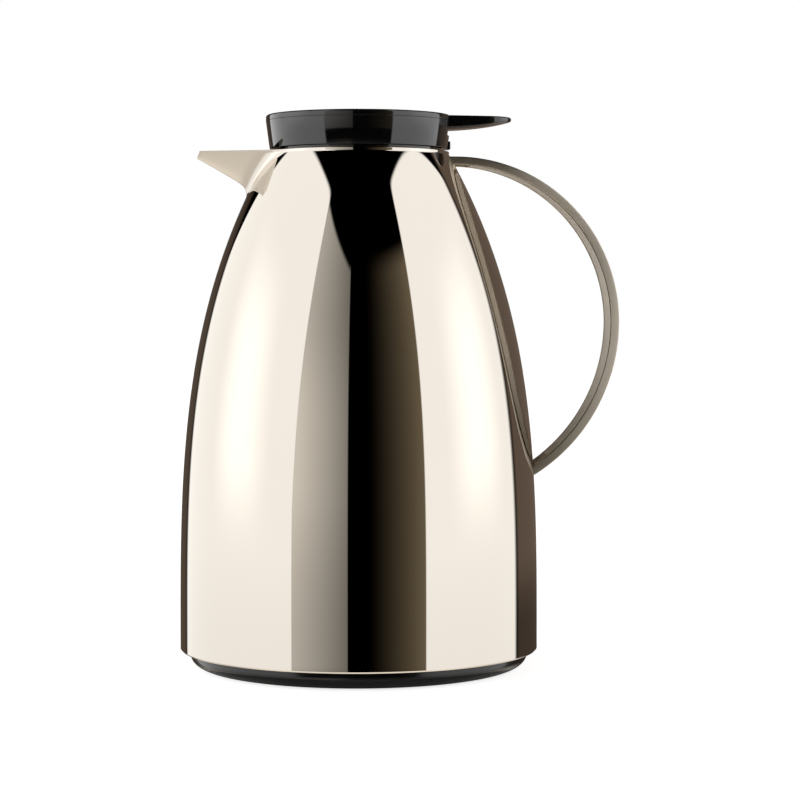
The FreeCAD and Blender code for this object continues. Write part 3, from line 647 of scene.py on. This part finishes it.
def sweep_group():
    """Node group that sweeps the profile in a mesh along the path in the same mesh."""
    tree = bpy.data.node_groups.new("Sweep along a path", "GeometryNodeTree")
    new_socket = tree.interface.new_socket
    new_socket("Geometry", in_out="INPUT", socket_type="NodeSocketGeometry")
    steps = new_socket("Path steps", in_out="INPUT", socket_type="NodeSocketInt")
    look = new_socket("Finish", in_out="INPUT", socket_type="NodeSocketMaterial")
    new_socket("Geometry", in_out="OUTPUT", socket_type="NodeSocketGeometry")
    given = add_node(tree, "NodeGroupInput").outputs
    mask = add_node(tree, "GeometryNodeInputNamedAttribute", {"data_type": "BOOLEAN"}, {"Name": "profile"})
    split = add_node(tree, "GeometryNodeSeparateGeometry", {"domain": "POINT"},
                     {"Geometry": given["Geometry"], "Selection": mask.outputs["Attribute"]})
    profile = add_node(tree, "GeometryNodeMeshToCurve", inputs={"Mesh": split.outputs["Selection"]})
    path = add_node(tree, "GeometryNodeMeshToCurve", inputs={"Mesh": split.outputs["Inverted"]})
    even = add_node(tree, "GeometryNodeResampleCurve", {"mode": "COUNT"},
                    {"Curve": path.outputs["Curve"], "Count": given["Path steps"]})
    swept = add_node(tree, "GeometryNodeCurveToMesh", inputs={
        "Curve": even.outputs["Curve"], "Profile Curve": profile.outputs["Curve"], "Fill Caps": True})
    real = add_node(tree, "GeometryNodeRealizeInstances", inputs={"Geometry": swept.outputs["Mesh"]})
    finished = add_node(tree, "GeometryNodeSetMaterial",
                        inputs={"Geometry": real.outputs["Geometry"], "Material": given["Finish"]})
    add_node(tree, "NodeGroupOutput", inputs={"Geometry": finished.outputs["Geometry"]})
    return tree, steps.identifier, look.identifier


def swept_object(name, line, profile, steps, look):
    """Object made by sweeping a closed profile along a line."""
    group, steps_id, look_id = sweep_group()
    verts = line + [(x, y, 0.0) for x, y in profile]
    size = len(line)
    edges = [(index, index + 1) for index in range(size - 1)]
    edges += [(size + index, size + (index + 1) % len(profile)) for index in range(len(profile))]
    mesh = bpy.data.meshes.new(name)
    mesh.from_pydata(verts, edges, [])
    marks = mesh.attributes.new("profile", "BOOLEAN", "POINT")
    marks.data.foreach_set("value", [index >= size for index in range(len(verts))])
    thing = linked(name, mesh)
    modifier = thing.modifiers.new("Sweep", "NODES")
    modifier.node_group = group
    modifier[steps_id] = steps
    modifier[look_id] = finish(look)
    bake(thing)
    tidy_mesh(thing.data)
    return thing


class PotBuildHandle(bpy.types.Operator):
    """Builds the strap handle and the inlay in its inner face"""
    bl_idname = "pot.build_handle"
    bl_label = "Build handle"

    def execute(self, context):
        shell = context.scene.pot_shell
        sizes = context.scene.pot_handle
        half = sizes.width / 2
        groove = half - sizes.flange
        edge = sizes.edge_round
        floor = sizes.thickness - sizes.groove
        tolerance = 0.5 * MM
        sideways = 0.5
        profile = rounded([
            (-half, 0.0, edge), (half, 0.0, edge), (half, sizes.thickness, edge), (groove, sizes.thickness, edge / 3),
            (groove, floor, 0.0), (-groove, floor, 0.0), (-groove, sizes.thickness, edge / 3),
            (-half, sizes.thickness, edge)])
        line = strap_line(shell, sizes, 0.0, -sizes.root_sink)
        strap = swept_object("handle_strap", line, profile, sizes.steps, "handle_pewter")
        wide = sizes.inlay_half_width
        profile = rounded([(-wide, floor, 0.0), (wide, floor, 0.0), (wide, sizes.thickness, edge / 2),
                           (-wide, sizes.thickness, edge / 2)])
        profile = [(x, y - sizes.thickness) for x, y in profile]
        line = strap_line(shell, sizes, sizes.thickness, sizes.inlay_end)
        inlay = swept_object("handle_inlay_strip", line, profile, sizes.steps, "inlay_painted_bounce_light")
        for thing, look, node in ((strap, "handle_pewter", "handle_frame"), (inlay, "inlay_painted_bounce_light", "handle_inlay")):
            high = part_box(node)[1]
            top = max(vert.co.z for vert in thing.data.vertices)
            far = max(vert.co.x for vert in thing.data.vertices)
            if max(abs(top - high[2]), abs(far - high[0])) > tolerance:
                raise RuntimeError("%s lies off its solid: top %.4f, far %.4f" % (thing.name, top, far))
            place(thing, "jug", "handle_pewter", look, node)
        # The black moulding on the inlay's sides is painted shade: the dark line of the shadow in the gap between strip
        # and strap
        inlay.data.materials.append(finish("black_base_and_gap_shade"))
        for face in inlay.data.polygons:
            face.material_index = int(abs(face.normal.y) > sideways)
        return {"FINISHED"}


# Lid and lever

class PotBuildLid(bpy.types.Operator):
    """Builds the lid's drum and cap with the slot for the lever"""
    bl_idname = "pot.build_lid"
    bl_label = "Build lid"

    def execute(self, context):
        sizes = context.scene.pot_lid
        lever = context.scene.pot_lever
        edge = sizes.edge_round
        profile = rounded([
            (sizes.stem_hole, sizes.register_z, 0.0), (sizes.register_radius, sizes.register_z, edge),
            (sizes.register_radius, sizes.low_z, 0.0), (sizes.low_radius, sizes.low_z, edge),
            (sizes.top_radius, sizes.cap_z, edge / 2), (sizes.top_radius - sizes.wall, sizes.cap_z, 0.0),
            (sizes.low_radius - sizes.wall, sizes.floor_top, edge), (sizes.stem_hole, sizes.floor_top, 0.0)])
        drum = make_object("lid_drum_shell", lathe(profile))
        half = sizes.slot_half_width
        overshoot = 1.2
        outer = sizes.top_radius * overshoot
        above = sizes.top_z + sizes.wall
        cut(drum, block((lever.pin_x, -half, sizes.slot_z), (outer, half, above)), edge / 2)
        near = lever.hub_half_width + edge
        hub = lever.hub_radius
        ears = block_pair((lever.pin_x - hub, near, sizes.floor_top - edge),
                          (lever.pin_x + hub, near + hub, lever.pin_z + hub), edge)
        lug = block((sizes.low_radius - sizes.wall / 2, -sizes.lug_half_width, sizes.low_z),
                    (sizes.low_radius + sizes.lug_depth, sizes.lug_half_width, sizes.low_z + sizes.lug_height), edge)
        mesh = drum.data
        wall = ([tuple(v.co) for v in mesh.vertices], [list(f.vertices) for f in mesh.polygons])
        bpy.data.objects.remove(drum)
        drum = make_object("lid_drum_shell", joined([wall, lug] + ears))
        place(drum, "stopper", "black_plastic", "black_plastic", "lid_drum")
        profile = rounded([(0.0, sizes.cap_z, 0.0), (sizes.top_radius, sizes.cap_z, edge / 2),
                           (sizes.top_radius, sizes.top_z, sizes.cap_round), (0.0, sizes.top_z, 0.0)], steps=8)
        cap = make_object("lid_cap_disc", lathe(profile))
        cut(cap, block((lever.pin_x - edge, -half, sizes.slot_z), (outer, half, above)), edge / 2)
        place(cap, "stopper", "black_plastic", "black_plastic", "lid_cap")
        return {"FINISHED"}


def tongue_part(sizes, heel_x, side_steps=24, tip_steps=48, round_steps=5):
    """Tongue of the lever from its rounded outline, seen from above, in rings."""
    centre = sizes.tip_x - sizes.half_width
    tip_low = sizes.top_z - sizes.fall - sizes.tip_thickness
    under = sizes.top_z - sizes.root_thickness

    def top(x):
        return sizes.top_z - sizes.fall * (x - sizes.pin_x) / (sizes.tip_x - sizes.pin_x)

    def bottom(x):
        share = min(1.0, max(0.0, (x - heel_x) / (sizes.tip_x - sizes.edge_round - heel_x)))
        return under + (tip_low - under) * share - 4 * sizes.sag * share * (1 - share)

    def outline(inset):
        width = sizes.half_width - inset
        sides = [sizes.pin_x + (centre - sizes.pin_x) * step / side_steps for step in range(side_steps)]
        points = [(x, width) for x in sides]
        for step in range(tip_steps + 1):
            angle = math.pi * step / tip_steps
            points.append((centre + width * math.sin(angle), width * math.cos(angle)))
        return points + [(x, -width) for x in reversed(sides)]

    turns = [math.pi / 2 * step / round_steps for step in range(round_steps + 1)]
    rings = []
    for height, way, order in ((bottom, 1, reversed(turns)), (top, -1, turns)):
        for turn in order:
            shift = way * sizes.edge_round * (1 - math.sin(turn))
            points = outline(sizes.edge_round * (1 - math.cos(turn)))
            rings.append([(x, y, height(x) + shift) for x, y in points])
    size = len(rings[0])
    verts = [point for ring in rings for point in ring]
    faces = []
    for ring in range(len(rings) - 1):
        for step in range(size - 1):
            here = ring * size + step
            faces.append([here, here + 1, here + size + 1, here + size])
    last = (len(rings) - 1) * size
    for base in (0, last):
        for step in range(size // 2):
            loop = [base + step, base + step + 1, base + size - 2 - step, base + size - 1 - step]
            faces.append(list(dict.fromkeys(loop)))
    back = [ring * size for ring in range(len(rings))]
    faces.append(back + [index + size - 1 for index in reversed(back)])
    return verts, faces


class PotBuildLever(bpy.types.Operator):
    """Builds the thumb lever with its hub and fork"""
    bl_idname = "pot.build_lever"
    bl_label = "Build lever"

    def execute(self, context):
        sizes = context.scene.pot_lever
        lid = context.scene.pot_lid
        half = sizes.hub_half_width
        tube = lathe([(sizes.pin_hole, -half), (sizes.hub_radius, -half), (sizes.hub_radius, half),
                      (sizes.pin_hole, half)], steps=64)
        hub = ([(sizes.pin_x + x, z, sizes.pin_z + y) for x, y, z in tube[0]], tube[1])
        edge = lid.edge_round
        web = block((sizes.pin_x - edge, -half, sizes.pin_z + sizes.pin_hole + edge),
                    (sizes.pin_x + sizes.hub_radius, half, sizes.top_z - sizes.root_thickness / 2), edge)
        prong_end = sizes.pin_x - sizes.pin_hole - edge
        prongs = block_pair((-sizes.prong_y, sizes.prong_y, sizes.prong_z),
                            (prong_end, sizes.prong_y + sizes.prong_width, sizes.prong_z + sizes.prong_thickness), edge)
        thing = make_object("lever", joined([tongue_part(sizes, lid.top_radius), hub, web] + prongs))
        place(thing, "lever", "black_plastic", "black_plastic", "thumb_lever")
        return {"FINISHED"}


class PotBuildSpring(bpy.types.Operator):
    """Builds the valve's return spring as one fixed coil; the real spring shortens as the valve rises, this mesh does
    not.
    """
    bl_idname = "pot.build_spring"
    bl_label = "Build spring"

    def execute(self, context):
        sizes = context.scene.pot_spring
        margin = sizes.wire + sizes.end_gap
        low = sizes.top_z - sizes.room + margin
        steps = sizes.turns * sizes.turn_steps
        coil = []
        for step in range(steps + 1):
            angle = 2 * math.pi * step / sizes.turn_steps
            coil.append((sizes.radius * math.cos(angle), sizes.radius * math.sin(angle),
                         low + (sizes.room - 2 * margin) * step / steps))
        profile = arc((0.0, 0.0), sizes.wire, 0.0, 2 * math.pi, sizes.wire_steps)[:-1]
        thing = swept_object("spring", coil, profile, steps + 1, "steel")
        place(thing, "stopper", "steel", "steel", "valve_spring")
        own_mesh(thing)
        return {"FINISHED"}


class PotFinishInside(bpy.types.Operator):
    """Gives the solids that stay in view or inside the pot their finishes"""
    bl_idname = "pot.finish_inside"
    bl_label = "Finish the inside"

    def execute(self, context):
        for part in frame["record"]["subparts"]:
            thing = frame["nodes"][part["node"]]
            material = finish(part["material_slot"])
            if not thing.material_slots:
                thing.data.materials.append(material)
            for slot in thing.material_slots:
                slot.material = material
        return {"FINISHED"}


# Stage

class Term:
    """Number in a node tree, so that the studio's light can be written as sums and products."""

    def __init__(self, tree, socket):
        self.tree = tree
        self.socket = socket

    def calc(self, operation, *others):
        """This number put through a maths node, alone or with others."""
        values = [self.socket] + [getattr(other, "socket", other) for other in others]
        node = add_node(self.tree, "ShaderNodeMath", {"operation": operation}, dict(enumerate(values)))
        return Term(self.tree, node.outputs[0])

    def __add__(self, other):
        return self.calc("ADD", other)

    def __sub__(self, other):
        return self.calc("SUBTRACT", other)

    def __mul__(self, other):
        return self.calc("MULTIPLY", other)

    def __truediv__(self, other):
        return self.calc("DIVIDE", other)

    def ramp(self, start, end, low=0.0, high=1.0, kind="SMOOTHSTEP"):
        """Number that goes from low to high while this one goes from start to end."""
        node = add_node(self.tree, "ShaderNodeMapRange", {"interpolation_type": kind}, {
            "Value": self.socket, "From Min": start, "From Max": end, "To Min": low, "To Max": high})
        return Term(self.tree, node.outputs[0])


# Edges and tones of the studio: a measure, its start and end in degrees, and the values there.
# Turn goes round to the right from the camera's direction, side to both sides, rise up from the horizon.
RAMPS = {
    "on_left": ("turn", -1.0, 1.0, 1.0, 0.0),
    "on_right": ("turn", -1.0, 1.0),
    # Side panels, a little dimmer low down and brighter in the middle
    "panel_lean": ("rise", 0.0, 48.0, 0.0, 1.0, "LINEAR"),
    "panel_outer": ("past_outer", -2.0, 2.0, 1.0, 0.0),
    "panel_foot": ("rise", -30.0, -16.0),
    "panel_low": ("rise", -9.0, -3.0, 0.94, 1.0),
    "hot_sides": ("off_middle", 3.0, 28.0, 1.0, 0.0),
    "hot_foot": ("rise", -5.0, 4.0),
    "hot_top": ("rise", 14.0, 34.0, 1.0, 0.0),
    # Cards between the camera and the panels; the left one's top edge rises outward
    "card_end": ("past_inner", -0.7, 0.7, 1.0, 0.0),
    "card_foot": ("rise", -9.3, -8.5),
    "left_height": ("side", 8.0, 36.0, 36.0, 48.0, "LINEAR"),
    "left_top": ("over_left", -1.0, 1.0, 1.0, 0.0),
    "left_edge": ("turn", -7.6, -6.6, 1.0, 0.0),
    "left_upper": ("rise", 8.0, 28.0, 1.0, 0.75),
    "left_lower": ("rise", -9.0, 3.0, 0.72, 1.0),
    "right_top": ("rise", 34.0, 40.0, 1.0, 0.0),
    # Room behind the panels
    "room_edge": ("past_outer", 0.0, 6.0),
    "room_left": ("rise", 4.0, 24.0, 1.4, 0.1),
    "room_right": ("rise", -7.6, -5.0, 1.0, 2.2),
    # Table, dimmer in front of the pot except far down
    "table_edge": ("rise", -30.0, -16.0, 1.0, 0.0),
    "table_depth": ("rise", -62.0, -40.0, 1.0, 0.72),
    "front_left": ("turn", -16.0, -4.0, 1.0, 0.25),
    "front_right": ("turn", 30.0, 70.0, 0.25, 1.0),
    "front_low": ("rise", -66.0, -48.0, 1.0, 0.0),
}


def studio_colour(tree, stage):
    """Colour of the studio in each direction."""
    ray = add_node(tree, "ShaderNodeTexCoord").outputs["Generated"]
    x, y, z = [Term(tree, part) for part in add_node(tree, "ShaderNodeSeparateXYZ", inputs={0: ray}).outputs]
    turn = x.calc("ARCTAN2", y * -1.0).calc("DEGREES") - stage.azimuth
    rise = z.calc("ARCSINE").calc("DEGREES")
    side = turn.calc("ABSOLUTE")
    measures = {"turn": turn, "rise": rise, "side": side}

    def share(*names):
        ramps = [measures[RAMPS[name][0]].ramp(*RAMPS[name][1:]) for name in names]
        return math.prod(ramps[1:], start=ramps[0])

    on_left, on_right = share("on_left"), share("on_right")
    measures["past_inner"] = side - (on_left * share("panel_lean") * -stage.panel_lean + stage.panel_inner)
    measures["past_outer"] = side - (on_left * stage.panel_left_outer + on_right * stage.panel_right_outer)
    measures["off_middle"] = (side - stage.panel_hot_side).calc("ABSOLUTE")
    measures["over_left"] = rise - share("left_height")

    # A panel's straight top is highest where the panel is nearest; the quotient rounds its inner corner
    slope = on_left.ramp(0.0, 1.0, 1.0, stage.panel_left_slope)
    near = ((side - stage.panel_middle) * slope).calc("RADIANS").calc("COSINE")
    top = (near * math.tan(math.radians(stage.panel_top))).calc("ARCTANGENT").calc("DEGREES")
    corner, soft, least = stage.panel_corner, stage.panel_soft, 0.001
    across = (measures["past_inner"] + corner).calc("MAXIMUM", least)
    under = (top - rise + corner).calc("MAXIMUM", least)
    within = across * under / (across + under)
    panel = within.ramp(corner - soft, corner + soft) * share("panel_outer", "panel_foot")
    bright = share("hot_sides", "hot_foot", "hot_top") * stage.panel_hot + share("panel_low") * stage.panel

    left = turn.ramp(stage.left_card_start, -stage.panel_inner, stage.left_card_dim, 1.0, "LINEAR")
    left = left * share("left_edge", "left_top", "left_upper", "left_lower", "card_end", "card_foot")
    right = turn.ramp(stage.right_card_start, stage.panel_inner, kind="LINEAR").calc("POWER", stage.right_card_power)
    right = right * share("right_top", "card_end", "card_foot")
    room = (on_left * share("room_left") + on_right * share("room_right")) * share("room_edge")
    front = share("front_left").calc("MAXIMUM", share("front_right")).calc("MAXIMUM", share("front_low"))
    table = share("table_edge", "table_depth") * front * stage.bounce

    studio = (0.0, 0.0, 0.0)
    for colour, strength in ((WHITE[:3], panel * bright), (stage.left_card, left), (stage.right_card, right),
                             (stage.backdrop, room), (stage.table, table)):
        part = vector(tree, "SCALE", {0: list(colour), "Scale": strength.socket})
        studio = vector(tree, "ADD", {0: studio, 1: part})
    return studio


def studio_world(stage):
    """World that is plain white to the camera and a studio with two side panels to everything else."""
    world = bpy.data.worlds.new("Studio")
    tree = new_tree(world)
    seen = add_node(tree, "ShaderNodeLightPath").outputs["Is Camera Ray"]
    colour = add_node(tree, "ShaderNodeMix", {"data_type": "RGBA"},
                      {0: seen, 6: studio_colour(tree, stage), 7: WHITE})
    ground = add_node(tree, "ShaderNodeBackground", inputs={"Color": colour.outputs[2], "Strength": 1.0})
    add_node(tree, "ShaderNodeOutputWorld", inputs={"Surface": ground.outputs[0]})
    return world


def floor_material(stage):
    """White floor that shows the pot's shadow; shiny pieces well above it see the studio instead."""
    material = bpy.data.materials.new("White studio floor")
    tree = new_tree(material)
    rays = add_node(tree, "ShaderNodeLightPath").outputs
    matt = add_node(tree, "ShaderNodeBsdfDiffuse", inputs={"Color": [stage.floor_tone] * 3 + [1.0]})
    strength = Term(tree, rays["Is Camera Ray"]) * stage.floor_glow
    glow = add_node(tree, "ShaderNodeEmission", inputs={"Strength": strength.socket})
    lit = add_node(tree, "ShaderNodeAddShader", inputs={0: matt.outputs[0], 1: glow.outputs[0]})
    clear = add_node(tree, "ShaderNodeBsdfTransparent")
    far = Term(tree, rays["Ray Length"]).calc("GREATER_THAN", stage.floor_near)
    through = far * Term(tree, rays["Is Glossy Ray"])
    either = add_node(tree, "ShaderNodeMixShader", inputs={0: through.socket, 1: lit.outputs[0], 2: clear.outputs[0]})
    add_node(tree, "ShaderNodeOutputMaterial", inputs={"Surface": either.outputs[0]})
    return material


class PotBuildStage(bpy.types.Operator):
    """Sets the floor, the studio light and the camera"""
    bl_idname = "pot.build_stage"
    bl_label = "Build stage"

    def execute(self, context):
        scene = context.scene
        stage = scene.pot_stage
        half = stage.floor_size / 2
        mesh = bpy.data.meshes.new("floor")
        mesh.from_pydata([(-half, -half, 0), (half, -half, 0), (half, half, 0), (-half, half, 0)], [], [(0, 1, 2, 3)])
        mesh.materials.append(floor_material(stage))
        floor = linked("floor", mesh)
        scene.world = studio_world(stage)
        lens = bpy.data.cameras.new("camera")
        lens.lens = stage.lens
        lens.sensor_width = SENSOR_MM
        camera = linked("camera", lens)
        angle = math.radians(stage.azimuth)
        camera.location = (stage.distance * math.sin(angle), -stage.distance * math.cos(angle), stage.height)
        camera.rotation_euler = (math.radians(90 - stage.pitch), 0.0, angle - math.radians(stage.yaw))
        scene.camera = camera
        scene.view_settings.view_transform = "Standard"
        return {"FINISHED"}


class PotPanel(bpy.types.Panel):
    """Sidebar panel with the pot's sizes and build steps"""
    bl_idname = "VIEW3D_PT_pot"
    bl_label = "Thermal pot"
    bl_space_type = "VIEW_3D"
    bl_region_type = "UI"
    bl_category = "Pot"

    def draw(self, context):
        for name in GROUPS:
            box = self.layout.box()
            group = getattr(context.scene, name)
            for field in group.bl_rna.properties:
                if field.identifier not in ("rna_type", "name"):
                    box.prop(group, field.identifier, text=field.identifier.replace("_", " ").capitalize())
        for operator in OPERATORS:
            self.layout.operator(operator.bl_idname)


GROUPS = {
    "pot_shell": PotShellSizes,
    "pot_base": PotBaseSizes,
    "pot_handle": PotHandleSizes,
    "pot_lid": PotLidSizes,
    "pot_lever": PotLeverSizes,
    "pot_spring": PotSpringSizes,
    "pot_finishes": PotFinishes,
    "pot_stage": PotStageSettings,
}
OPERATORS = [PotFinishInside, PotBuildShell, PotBuildBase, PotBuildHandle, PotBuildLid, PotBuildLever,
             PotBuildSpring, PotBuildStage]


def register():
    for name, group in GROUPS.items():
        bpy.utils.register_class(group)
        setattr(bpy.types.Scene, name, bpy.props.PointerProperty(type=group))
    for operator in OPERATORS:
        bpy.utils.register_class(operator)
    bpy.utils.register_class(PotPanel)


def unregister():
    bpy.utils.unregister_class(PotPanel)
    for operator in reversed(OPERATORS):
        bpy.utils.unregister_class(operator)
    for name, group in GROUPS.items():
        delattr(bpy.types.Scene, name)
        bpy.utils.unregister_class(group)


def main():
    register()
    bpy.ops.pot.finish_inside()
    bpy.ops.pot.build_shell()
    bpy.ops.pot.build_base()
    bpy.ops.pot.build_handle()
    bpy.ops.pot.build_lid()
    bpy.ops.pot.build_lever()
    bpy.ops.pot.build_spring()
    bpy.ops.pot.build_stage()


if __name__ == "__main__":
    main()
